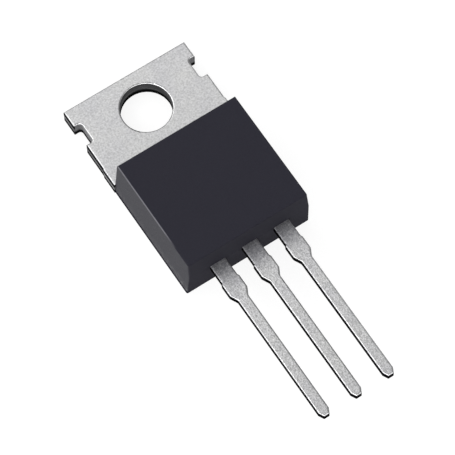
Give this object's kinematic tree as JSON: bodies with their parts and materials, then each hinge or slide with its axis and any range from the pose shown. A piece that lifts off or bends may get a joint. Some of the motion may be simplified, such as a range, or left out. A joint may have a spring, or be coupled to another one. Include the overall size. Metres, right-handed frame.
{
  "type": "voltage regulator",
  "caption": "Through-hole voltage regulator: black moulded body on a tin-plated copper heat-sink plate with a mounting hole and side notches, and straight flat leads with stepped shoulders.",
  "frame": {"origin": "Centre of the mounting hole, on the back of the heat-sink plate, which is the surface that the part rests on.", "axes": "+X to the right seen from the front with the leads down, +Y from the leads towards the tab, along the part's length, +Z out of the front face, along the mounting hole."},
  "size_m": [0.01, 0.0288, 0.0045],
  "materials": {
    "tinned_copper": "copper alloy with a satin tin plating",
    "black_epoxy": "black transfer-moulded epoxy, fine matt grain",
    "silicon": "polished silicon",
    "solder": "dull die-attach solder",
    "aluminium_wire": "bright drawn wire"
  },
  "bodies": {
    "root": {"heat_sink_with_ground_lead": "tinned_copper", "input_lead": "tinned_copper", "output_lead": "tinned_copper", "moulded_body": "black_epoxy", "regulator_die": "silicon", "die_solder": "solder", "input_wire": "aluminium_wire", "output_wire": "aluminium_wire", "sense_wire": "aluminium_wire", "ground_wire": "aluminium_wire"}
  },
  "joints": []
}
